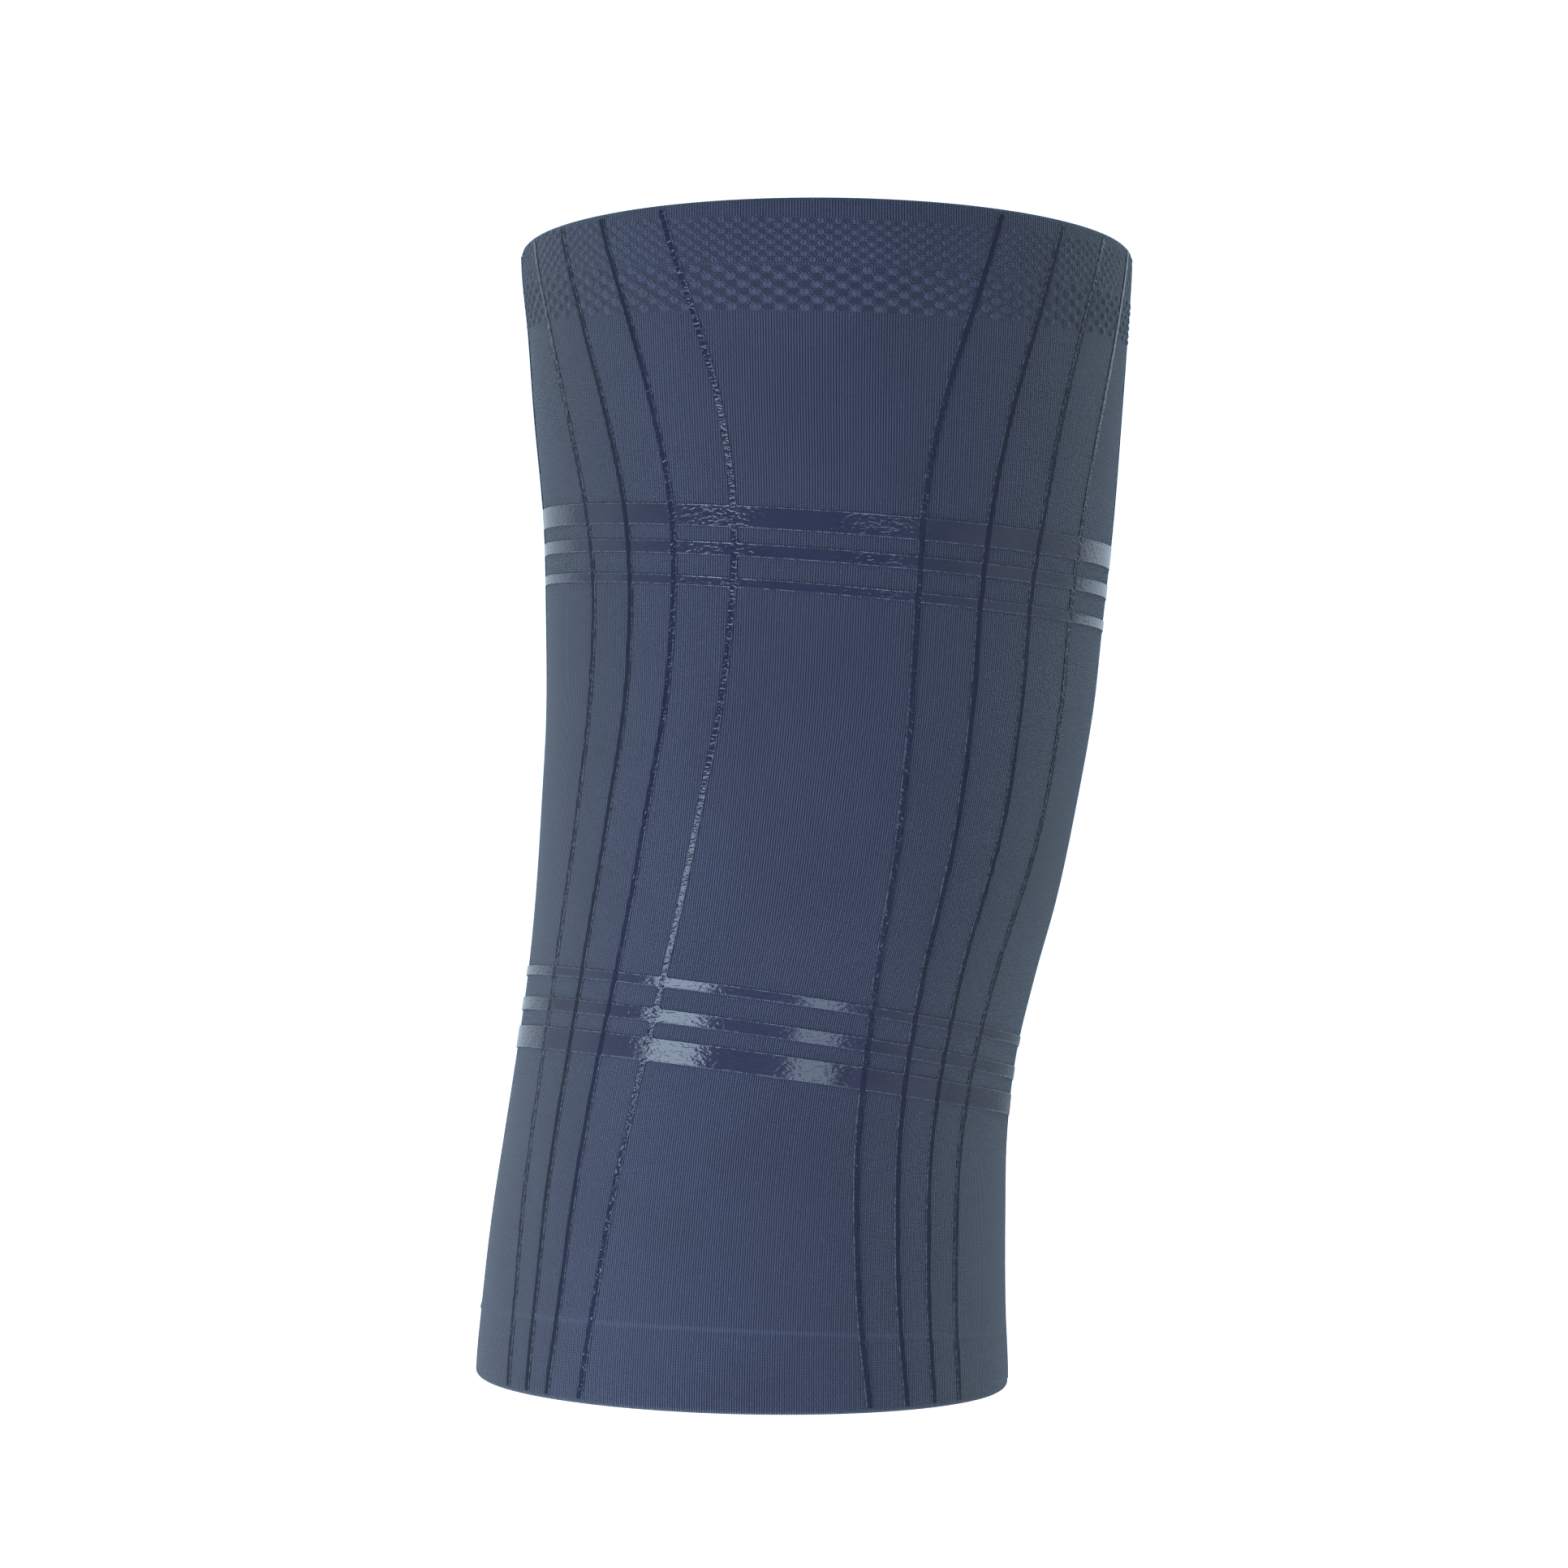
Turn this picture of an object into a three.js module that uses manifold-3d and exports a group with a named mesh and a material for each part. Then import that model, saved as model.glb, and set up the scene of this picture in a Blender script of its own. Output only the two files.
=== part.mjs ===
// A knitted knee sleeve in the shape that it takes on a slightly bent leg, with a thin web of glossy film
// bonded to its outside: four upright strips on each side of the kneecap, and six bands around the leg.
// Millimetres, +Z up. The kneecap faces -Y, and the origin lies on the leg's axis at the middle of the kneecap.

import * as THREE from 'three';
import { mergeVertices } from 'three/addons/utils/BufferGeometryUtils.js';
import Module from 'manifold-3d';

const wasm = await Module();
wasm.setup();

// Size of the sleeve as worn
const sleeveLength = 265; // lower rim to upper rim, along the sides
const kneeHeight = 137.1; // lower rim up to the middle of the kneecap
const kneeWidth = 126;
const kneeDepth = 124;
const widestBehindMiddle = 4; // a section is widest this far behind the middle of its depth

// Knit
const knitThickness = 1.8;
const hemHeight = 17.2; // the lower rim is turned in and doubled up to here
const hemThickness = 2.6;

// Film web
const filmThickness = 0.5;
const filmGap = 0.3; // clearance between the film and the knit
const filmEndMargin = 1.2; // the strips end this far inside the sleeve's rims
const stripWidth = 1.5;
const wideBandHeight = 5.0;
const middleBandHeight = 3.0;
const narrowBandHeight = 2.2;
const bandSpacing = 7.6; // middle of a band to the middle of the next
const upperBandsHeight = 190.4; // lower rim to the middle band of the group above the kneecap
const lowerBandsHeight = 80.7; // lower rim to the middle band of the group below the kneecap

// Fineness of the facets
const facetsAround = 52;
const knitRows = 20;
const stripRows = 24;

// Sections of the leg. up is a share of the sleeve's length above the lower rim. width is the section's width
// and aside its shift to +X, as shares of the knee's width. front and back are its reach from the axis, as
// shares of the knee's depth.
const sections = [
  { up: 0.000, width: 0.999, aside: -0.128, front: 0.403, back: 0.589 },
  { up: 0.065, width: 0.983, aside: -0.125, front: 0.411, back: 0.581 },
  { up: 0.150, width: 0.961, aside: -0.115, front: 0.423, back: 0.565 },
  { up: 0.220, width: 0.940, aside: -0.102, front: 0.435, back: 0.536 },
  { up: 0.290, width: 0.932, aside: -0.082, front: 0.452, back: 0.504 },
  { up: 0.360, width: 0.944, aside: -0.054, front: 0.472, back: 0.480 },
  { up: 0.430, width: 0.969, aside: -0.026, front: 0.500, back: 0.472 },
  { up: 0.520, width: 0.996, aside: 0.000, front: 0.520, back: 0.480 },
  { up: 0.600, width: 1.018, aside: 0.019, front: 0.516, back: 0.500 },
  { up: 0.680, width: 1.037, aside: 0.028, front: 0.500, back: 0.532 },
  { up: 0.760, width: 1.060, aside: 0.035, front: 0.496, back: 0.565 },
  { up: 0.860, width: 1.097, aside: 0.034, front: 0.508, back: 0.605 },
  { up: 0.930, width: 1.119, aside: 0.034, front: 0.516, back: 0.629 },
  { up: 1.000, width: 1.141, aside: 0.032, front: 0.524, back: 0.653 },
];

// How the sleeve's rows lie on the leg. rise is how much the front of a row lies above its sides, and slope
// how much its +X side lies below its middle, as shares of the knee's width. up counts along the sides.
const rows = [
  { up: 0.00, rise: -0.007, slope: 0.012 },
  { up: 0.07, rise: 0.012, slope: 0.023 },
  { up: 0.15, rise: 0.027, slope: 0.041 },
  { up: 0.22, rise: 0.036, slope: 0.058 },
  { up: 0.29, rise: 0.040, slope: 0.065 },
  { up: 0.36, rise: 0.037, slope: 0.066 },
  { up: 0.43, rise: 0.030, slope: 0.063 },
  { up: 0.52, rise: 0.021, slope: 0.056 },
  { up: 0.60, rise: 0.014, slope: 0.050 },
  { up: 0.68, rise: 0.009, slope: 0.043 },
  { up: 0.76, rise: 0.007, slope: 0.035 },
  { up: 0.86, rise: 0.002, slope: 0.022 },
  { up: 0.93, rise: 0.010, slope: 0.013 },
  { up: 1.00, rise: 0.045, slope: 0.005 },
];

// Where the upright strips run: how far each strip, from the innermost to the rearmost, lies from the front of
// the leg, in degrees around the section. The leg is not symmetric, and nor are the two sides.
const leftStrips = [
  { up: 0.00, first: 35.3, second: 44.4, third: 50.8, fourth: 57.9, fifth: 98.0 },
  { up: 0.10, first: 32.6, second: 42.2, third: 50.1, fourth: 58.2, fifth: 98.0 },
  { up: 0.20, first: 30.3, second: 41.3, third: 50.4, fourth: 60.0, fifth: 98.3 },
  { up: 0.30, first: 27.9, second: 40.1, third: 50.1, fourth: 60.8, fifth: 98.3 },
  { up: 0.40, first: 25.8, second: 38.3, third: 49.2, fourth: 60.4, fifth: 97.5 },
  { up: 0.50, first: 23.3, second: 35.8, third: 46.4, fourth: 57.4, fifth: 95.5 },
  { up: 0.60, first: 20.5, second: 33.0, third: 43.5, fourth: 55.0, fifth: 93.0 },
  { up: 0.70, first: 18.8, second: 31.7, third: 42.6, fourth: 53.9, fifth: 89.8 },
  { up: 0.78, first: 19.2, second: 32.6, third: 44.3, fourth: 56.6, fifth: 87.6 },
  { up: 0.86, first: 21.5, second: 35.8, third: 48.1, fourth: 61.0, fifth: 87.3 },
  { up: 0.93, first: 25.8, second: 40.2, third: 52.9, fourth: 66.0, fifth: 87.0 },
  { up: 1.00, first: 30.4, second: 44.7, third: 57.0, fourth: 70.0, fifth: 86.5 },
];
const rightStrips = [
  { up: 0.00, first: 27.7, second: 36.9, third: 44.5, fourth: 52.8, fifth: 92.0 },
  { up: 0.10, first: 24.9, second: 34.7, third: 43.1, fourth: 51.9, fifth: 92.0 },
  { up: 0.20, first: 23.2, second: 33.5, third: 42.5, fourth: 52.2, fifth: 92.0 },
  { up: 0.30, first: 22.1, second: 32.7, third: 42.8, fourth: 53.8, fifth: 92.5 },
  { up: 0.40, first: 19.8, second: 31.5, third: 42.4, fourth: 54.8, fifth: 93.0 },
  { up: 0.50, first: 19.1, second: 32.3, third: 44.7, fourth: 58.6, fifth: 94.0 },
  { up: 0.60, first: 18.0, second: 31.6, third: 44.4, fourth: 58.5, fifth: 93.5 },
  { up: 0.70, first: 17.8, second: 31.6, third: 44.5, fourth: 58.6, fifth: 91.5 },
  { up: 0.78, first: 18.3, second: 33.1, third: 46.9, fourth: 60.8, fifth: 90.0 },
  { up: 0.86, first: 21.9, second: 37.0, third: 50.8, fourth: 65.8, fifth: 90.0 },
  { up: 0.93, first: 26.7, second: 41.8, third: 55.5, fourth: 71.0, fifth: 90.0 },
  { up: 1.00, first: 31.5, second: 46.5, third: 61.2, fourth: 76.0, fifth: 90.1 },
];

// Bands of film around the leg: the height of their middle above the lower rim, and how tall they are.
const filmBands = [
  { middle: upperBandsHeight + bandSpacing, height: wideBandHeight },
  { middle: upperBandsHeight, height: middleBandHeight },
  { middle: upperBandsHeight - bandSpacing, height: narrowBandHeight },
  { middle: lowerBandsHeight + bandSpacing, height: narrowBandHeight },
  { middle: lowerBandsHeight, height: middleBandHeight },
  { middle: lowerBandsHeight - bandSpacing, height: wideBandHeight },
];

const radians = THREE.MathUtils.degToRad;

// A smooth curve through the rows of a table, read at any height as an object with the table's columns.
function smoothTable(rows) {
  const columns = Object.keys(rows[0]).filter((column) => column !== 'up');
  const heights = rows.map((row) => row.up);
  const values = rows.flatMap((row) => columns.map((column) => row[column]));
  const curve = new THREE.CubicInterpolant(heights, values, columns.length);
  return (up) => {
    const found = curve.evaluate(THREE.MathUtils.clamp(up, 0, 1));
    return Object.fromEntries(columns.map((column, index) => [column, found[index]]));
  };
}

const sectionAt = smoothTable(sections);
const rowAt = smoothTable(rows);
const leftStripsAt = smoothTable(leftStrips);
const rightStripsAt = smoothTable(rightStrips);

// The height above the lower rim at which a row of the sleeve passes an angle around the leg. A row is named
// by its own height along the sides, and the angle is counted from the front towards +X.
function heightOnLeg(rowHeight, angle) {
  const row = rowAt(rowHeight / sleeveLength);
  return rowHeight + (row.rise * Math.cos(angle) - row.slope * Math.sin(angle)) * kneeWidth;
}

// The point at a row and an angle, moved outwards from the leg's skin by a distance.
function legPoint(rowHeight, angle, outwards) {
  const height = heightOnLeg(rowHeight, angle);
  const section = sectionAt(height / sleeveLength);
  const halfWidth = (section.width * kneeWidth) / 2;
  const widestLine = ((section.back - section.front) * kneeDepth) / 2 + widestBehindMiddle;
  const across = Math.sin(angle);
  const forwards = Math.cos(angle);
  const reach = forwards > 0
    ? section.front * kneeDepth + widestLine
    : section.back * kneeDepth - widestLine;
  const normal = new THREE.Vector2(across / halfWidth, -forwards / reach).normalize();
  return new THREE.Vector3(
    section.aside * kneeWidth + halfWidth * across + outwards * normal.x,
    widestLine - reach * forwards + outwards * normal.y,
    height - kneeHeight,
  );
}

// Moves each vertex to the place on the leg that the given function reads from its straight position.
function fitToLeg(geometry, placeOf) {
  const position = geometry.attributes.position;
  for (let index = 0; index < position.count; index += 1) {
    const straight = new THREE.Vector3().fromBufferAttribute(position, index);
    const { rowHeight, angle, outwards } = placeOf(straight);
    position.setXYZ(index, ...legPoint(rowHeight, angle, outwards).toArray());
  }
  geometry.computeVertexNormals();
  return geometry;
}

// A ring around the leg from a closed profile of points (distance outwards from the skin, height).
function ringOnLeg(profile) {
  const straightRadius = kneeWidth / 2;
  const points = profile.map(([outwards, height]) => new THREE.Vector2(straightRadius + outwards, height));
  const ring = new THREE.LatheGeometry([...points, points[0]], facetsAround);
  return fitToLeg(ring, (straight) => ({
    rowHeight: straight.y,
    angle: Math.atan2(straight.x, straight.z),
    outwards: Math.hypot(straight.x, straight.z) - straightRadius,
  }));
}

// Heights from one to another, both included, about as far apart as the knit's facets.
function heightsBetween(low, high) {
  const steps = Math.max(1, Math.round(((high - low) * knitRows) / sleeveLength));
  return Array.from({ length: steps + 1 }, (_, step) => low + ((high - low) * step) / steps);
}

// The knitted tube: its outer face has the shape of the sections, and its wall goes inwards. The rims
// are rounded over, and the turned hem makes the wall thicker up to its own height.
function knitGeometry() {
  const upperRound = knitThickness / 2;
  const hemRound = hemThickness / 2;
  const outerFace = heightsBetween(hemRound, sleeveLength - upperRound).map((height) => [0, height]);
  const upperInnerFace = heightsBetween(hemHeight + hemThickness - knitThickness, sleeveLength - upperRound)
    .map((height) => [-knitThickness, height])
    .reverse();
  const hemInnerFace = heightsBetween(hemRound, hemHeight)
    .map((height) => [-hemThickness, height])
    .reverse();
  const upperRim = [-upperRound, sleeveLength];
  const lowerRim = [-hemRound, 0];
  return ringOnLeg([...outerFace, upperRim, ...upperInnerFace, ...hemInnerFace, lowerRim]);
}

// A closed three.js geometry as a solid that can be joined and cut.
function solidOf(geometry) {
  const bare = geometry.clone();
  bare.deleteAttribute('normal');
  bare.deleteAttribute('uv');
  const merged = mergeVertices(bare, 1e-4);
  return new wasm.Manifold(new wasm.Mesh({
    numProp: 3,
    vertProperties: new Float32Array(merged.attributes.position.array),
    triVerts: new Uint32Array(merged.index.array),
  }));
}

function geometryOf(solid) {
  const mesh = solid.getMesh();
  const geometry = new THREE.BufferGeometry();
  geometry.setAttribute('position', new THREE.BufferAttribute(new Float32Array(mesh.vertProperties), 3));
  geometry.setIndex(new THREE.BufferAttribute(new Uint32Array(mesh.triVerts), 1));
  return geometry;
}

// One band of the web: a flat ring of film around the leg.
function bandSolid({ middle, height }) {
  const low = middle - height / 2;
  const high = middle + height / 2;
  return solidOf(ringOnLeg([
    [filmGap + filmThickness, low],
    [filmGap + filmThickness, high],
    [filmGap, high],
    [filmGap, low],
  ]));
}

// The angle of a strip's middle at a row: side is -1 for the strips towards -X and 1 for those towards +X.
function stripAngle(rowHeight, side, order) {
  const stripsAt = side < 0 ? leftStripsAt : rightStripsAt;
  const angleAt = (height) => side * radians(stripsAt(height / sleeveLength)[order]);
  return angleAt(heightOnLeg(rowHeight, angleAt(rowHeight)));
}

// One upright strip of the web, from rim to rim.
function stripSolid(side, order) {
  const stripLength = sleeveLength - 2 * filmEndMargin;
  const box = new THREE.BoxGeometry(stripWidth, stripLength, filmThickness, 1, stripRows, 1);
  box.translate(0, sleeveLength / 2, filmGap + filmThickness / 2);
  fitToLeg(box, (straight) => {
    const section = sectionAt(straight.y / sleeveLength);
    return {
      rowHeight: straight.y,
      angle: stripAngle(straight.y, side, order) + straight.x / ((section.width * kneeWidth) / 2),
      outwards: straight.z,
    };
  });
  return solidOf(box);
}

// The web is one piece: its strips and bands run into each other where they cross.
function filmGeometry() {
  const bands = filmBands.map(bandSolid);
  const strips = ['first', 'second', 'third', 'fourth', 'fifth']
    .flatMap((order) => [stripSolid(-1, order), stripSolid(1, order)]);
  return geometryOf([...bands, ...strips].reduce((joined, solid) => joined.add(solid)));
}

function piece(name, geometry, finish) {
  const mesh = new THREE.Mesh(geometry, new THREE.MeshStandardMaterial(finish));
  mesh.name = name;
  return mesh;
}

const kneeSleeve = new THREE.Group();
kneeSleeve.add(
  piece('knit_sleeve', knitGeometry(), { color: 0x46536b, roughness: 0.85, metalness: 0 }),
  piece('film_web', filmGeometry(), { color: 0x34405c, roughness: 0.3, metalness: 0 }),
);

export default kneeSleeve;
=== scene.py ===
import math

import bpy
import numpy as np
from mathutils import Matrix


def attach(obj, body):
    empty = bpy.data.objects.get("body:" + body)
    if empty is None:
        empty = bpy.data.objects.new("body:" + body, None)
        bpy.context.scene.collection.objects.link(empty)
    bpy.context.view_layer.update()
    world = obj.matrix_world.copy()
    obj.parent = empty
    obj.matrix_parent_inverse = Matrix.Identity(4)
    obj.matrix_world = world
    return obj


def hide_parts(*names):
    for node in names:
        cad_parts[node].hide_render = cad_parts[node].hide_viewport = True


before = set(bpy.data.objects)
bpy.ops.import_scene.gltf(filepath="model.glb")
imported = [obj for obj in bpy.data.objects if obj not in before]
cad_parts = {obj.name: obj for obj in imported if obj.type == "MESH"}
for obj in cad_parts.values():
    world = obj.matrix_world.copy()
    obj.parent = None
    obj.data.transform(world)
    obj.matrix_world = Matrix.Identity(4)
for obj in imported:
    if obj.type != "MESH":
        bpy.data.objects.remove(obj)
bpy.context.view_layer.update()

mm = 0.001
sameSpot = 1e-6  # points closer than this, in metres, are one point


# The camera looks level at the knee from straight ahead.
cameraView = {"place": (-0.0061, -1.2, 0.0036), "lens": 117.7, "sensor": 36.0}


def makeCamera():
    data = bpy.data.cameras.new("photoCamera")
    data.lens = cameraView["lens"]
    data.sensor_width = cameraView["sensor"]
    data.clip_end = 50
    camera = bpy.data.objects.new("photoCamera", data)
    camera.location = cameraView["place"]
    camera.rotation_euler = (math.radians(90), 0, 0)
    bpy.context.scene.collection.objects.link(camera)
    bpy.context.scene.camera = camera
    print("camera set")


# The leg that the sleeve keeps the shape of, in the CAD model's own measures.
leg = {
    "length": 265.0,
    "kneeHeight": 137.1,
    "kneeWidth": 126.0,
    "kneeDepth": 124.0,
    "widestBehindMiddle": 4.0,
    # share of the length up from the lower rim: width, aside (of kneeWidth), front, back (of kneeDepth)
    "sections": [
        (0.000, 0.999, -0.128, 0.403, 0.589),
        (0.065, 0.983, -0.125, 0.411, 0.581),
        (0.150, 0.961, -0.115, 0.423, 0.565),
        (0.220, 0.940, -0.102, 0.435, 0.536),
        (0.290, 0.932, -0.082, 0.452, 0.504),
        (0.360, 0.944, -0.054, 0.472, 0.480),
        (0.430, 0.969, -0.026, 0.500, 0.472),
        (0.520, 0.996, 0.000, 0.520, 0.480),
        (0.600, 1.018, 0.019, 0.516, 0.500),
        (0.680, 1.037, 0.028, 0.500, 0.532),
        (0.760, 1.060, 0.035, 0.496, 0.565),
        (0.860, 1.097, 0.034, 0.508, 0.605),
        (0.930, 1.119, 0.034, 0.516, 0.629),
        (1.000, 1.141, 0.032, 0.524, 0.653),
    ],
    # a knitted row's rise at the front and its fall to the right (of kneeWidth)
    "rows": [
        (0.00, -0.007, 0.012),
        (0.07, 0.012, 0.023),
        (0.15, 0.027, 0.041),
        (0.22, 0.036, 0.058),
        (0.29, 0.040, 0.065),
        (0.36, 0.037, 0.066),
        (0.43, 0.030, 0.063),
        (0.52, 0.021, 0.056),
        (0.60, 0.014, 0.050),
        (0.68, 0.009, 0.043),
        (0.76, 0.007, 0.035),
        (0.86, 0.002, 0.022),
        (0.93, 0.010, 0.013),
        (1.00, 0.045, 0.005),
    ],
}


def smoothTable(rows, column, freeEnds=False):
    # a smooth curve through one column of a table
    # past its ends it goes on straight, or level if they aren't free
    ups = np.array([row[0] for row in rows])
    values = np.array([row[column] for row in rows])
    secants = np.diff(values) / np.diff(ups)
    slopes = np.zeros(len(ups))
    slopes[1:-1] = (secants[:-1] + secants[1:]) / 2
    if freeEnds:
        slopes[0] = secants[0]
        slopes[-1] = secants[-1]

    def at(wanted):
        up = np.clip(wanted, ups[0], ups[-1])
        past = np.where(wanted > up, slopes[-1], slopes[0]) * (wanted - up)
        k = np.clip(np.searchsorted(ups, up, side="right") - 1, 0, len(ups) - 2)
        span = ups[k + 1] - ups[k]
        t = (up - ups[k]) / span
        rest = 1 - t
        return (
            values[k] * (1 + 2 * t) * rest**2
            + values[k + 1] * t**2 * (3 - 2 * t)
            + span * t * rest * (slopes[k] * rest - slopes[k + 1] * t)
            + past
        )

    return at


legWidth = smoothTable(leg["sections"], 1)
legAside = smoothTable(leg["sections"], 2)
legFront = smoothTable(leg["sections"], 3)
legBack = smoothTable(leg["sections"], 4)
rowRise = smoothTable(leg["rows"], 1)
rowSlope = smoothTable(leg["rows"], 2)


def heightOnLeg(rowHeight, angle):
    # the true height, in mm above the lower rim, of a knitted row at an angle from the front
    up = rowHeight / leg["length"]
    return rowHeight + (rowRise(up) * np.cos(angle) - rowSlope(up) * np.sin(angle)) * leg["kneeWidth"]


def legPoint(height, angle, out):
    # a point of the leg in metres, out mm from its skin
    up = height / leg["length"]
    halfWidth = legWidth(up) * leg["kneeWidth"] / 2
    front = legFront(up) * leg["kneeDepth"]
    back = legBack(up) * leg["kneeDepth"]
    widestLine = (back - front) / 2 + leg["widestBehindMiddle"]
    reach = np.where(np.cos(angle) > 0, front + widestLine, back - widestLine)
    across = np.sin(angle) / halfWidth
    along = -np.cos(angle) / reach
    size = np.hypot(across, along)
    x = legAside(up) * leg["kneeWidth"] + halfWidth * np.sin(angle) + out * across / size
    y = widestLine - reach * np.cos(angle) + out * along / size
    return np.stack([x, y, height - leg["kneeHeight"]], axis=-1) * mm


# The knitted tube: one wall, rounded over both rims and thicker at the turned hem.
knit = {
    "columns": 640,
    "thickness": 1.8,
    "hemThickness": 2.6,
    "hemHeight": 17.2,
    "hemLine": {"height": 14.4, "rise": 0.029, "slope": 0.023, "ridge": 0.25, "width": 0.9},
    "cuffFrom": 243.0,  # row height where the raised stitches begin
    "cuffRow": 0.40,
    "plainRow": 4.8,
    "wales": 700,
    "course": 0.5,
    "cuffSlope": 1.9,
    "largeStitches": {"count": 80, "first": 109.2, "pitch": 1.69, "rows": 6, "relief": 0.42},
    "smallStitches": {"count": 120, "first": 119.7, "pitch": 1.24, "rows": 8, "relief": 0.22},
    "pressedFlat": (0.9, 1.9),  # mm from a strip's middle where the raised stitches are flat and full
}


def rounded(middleOut, middleHeight, radius, start, end, steps):
    # an arc of the wall's outline, from one direction to another in degrees
    turns = np.radians(np.linspace(start, end, steps))
    return [(middleHeight + radius * math.sin(t), middleOut + radius * math.cos(t)) for t in turns]


def knitProfile():
    # the wall's outline as pairs of row height and distance out, all the way round from inside the lower rim
    hemRadius = knit["hemThickness"] / 2
    rimRadius = knit["thickness"] / 2
    top = leg["length"]
    line = knit["hemLine"]["height"]
    points = rounded(-hemRadius, hemRadius, hemRadius, 180, 360, 9)
    points += [(h, 0.0) for h in (4.5, 8.0, 11.0, 12.6, 13.2, 13.6)]
    points += [(line + d, 0.0) for d in (-0.5, -0.25, 0.0, 0.25, 0.5, 0.9, 1.6)]
    plain = np.arange(line + 5.0, knit["cuffFrom"] - 1, knit["plainRow"])
    points += [(h, 0.0) for h in plain]
    rows = int(round((top - rimRadius - knit["cuffFrom"]) / knit["cuffRow"]))
    points += [(h, 0.0) for h in np.linspace(knit["cuffFrom"], top - rimRadius, rows, endpoint=False)]
    points += rounded(-rimRadius, top - rimRadius, rimRadius, 0, 180, 7)
    points += [(h, -knit["thickness"]) for h in np.linspace(top - 12, knit["hemHeight"] + 1.5, 9)]
    points += [(knit["hemHeight"], -knit["hemThickness"]), (8.0, -knit["hemThickness"])]
    return np.array(points)


def raisedStitches(turns, height, kind):
    # the rise of rounded stitches, staggered from row to row, from 0 to 1
    row = (height - kind["first"]) / kind["pitch"]
    wave = np.cos(2 * math.pi * kind["count"] * turns) * np.cos(math.pi * row)
    fade = 0.35  # share of a row in which the first row rises and the last one ends
    within = np.clip((row + 0.75) / fade, 0, 1) * np.clip((kind["rows"] - 0.25 - row) / fade, 0, 1)
    rise = np.clip((wave + 0.1) / 0.9, 0, 1)
    return within * rise * rise * (3 - 2 * rise)


def besideStrips(angle, height):
    # mm round the leg from a place to the middle of the nearest film strip
    farAway = 99.0
    nearest = np.full(len(angle), farAway)
    turned = np.mod(angle + math.pi, 2 * math.pi) - math.pi
    roundHere = roundLength(angle, height)
    for side, table in ((-1, film["leftStrips"]), (1, film["rightStrips"])):
        for order in range(1, 6):
            middle = side * np.radians(smoothTable(table, order, freeEnds=True)(height / leg["length"]))
            nearest = np.minimum(nearest, np.abs(turned - middle) * roundHere)
    return nearest


def selectOnly(obj):
    bpy.ops.object.select_all(action="DESELECT")
    obj.select_set(True)
    bpy.context.view_layer.objects.active = obj


def gridPiece(name, columns, rows):
    # a flat grid of so many cells, shaped afterwards
    bpy.ops.object.select_all(action="DESELECT")
    bpy.ops.mesh.primitive_grid_add(x_subdivisions=columns, y_subdivisions=rows, size=2, location=(0, 0, 0))
    obj = bpy.context.active_object
    obj.name = name
    obj.data.name = name
    return obj


def gridPlaces(obj, columns, rows):
    # the column and row of each point of such a grid
    points = np.empty(len(obj.data.vertices) * 3)
    obj.data.vertices.foreach_get("co", points)
    points = points.reshape(-1, 3)
    column = np.round((points[:, 0] + 1) / 2 * columns).astype(int)
    row = np.round((points[:, 1] + 1) / 2 * rows).astype(int)
    return column, row


def setPoints(obj, points):
    obj.data.vertices.foreach_set("co", points.astype(np.float32).ravel())
    obj.data.update()


def setValues(obj, name, values):
    # one value for each point, which the materials read
    layer = obj.data.attributes.new(name, "FLOAT", "POINT")
    layer.data.foreach_set("value", values.astype(np.float32).ravel())


def pointOfCorner(mesh):
    # the point that each face corner stands on
    corners = np.empty(len(mesh.loops), dtype=np.int32)
    mesh.loops.foreach_get("vertex_index", corners)
    return corners


def setPlaces(obj, name, across, along):
    # the piece's UV map from two values of each point
    corners = pointOfCorner(obj.data)
    places = np.stack([across[corners], along[corners]], axis=-1)
    uv = obj.data.uv_layers.active
    uv.name = name
    uv.data.foreach_set("uv", places.astype(np.float32).ravel())


def closeAndPoint(obj):
    # merge doubled points and turn every face outwards
    selectOnly(obj)
    bpy.ops.object.mode_set(mode="EDIT")
    bpy.ops.mesh.select_all(action="SELECT")
    bpy.ops.mesh.remove_doubles(threshold=sameSpot)
    bpy.ops.mesh.normals_make_consistent(inside=False)
    bpy.ops.object.mode_set(mode="OBJECT")
    bpy.ops.object.shade_smooth()


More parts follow.
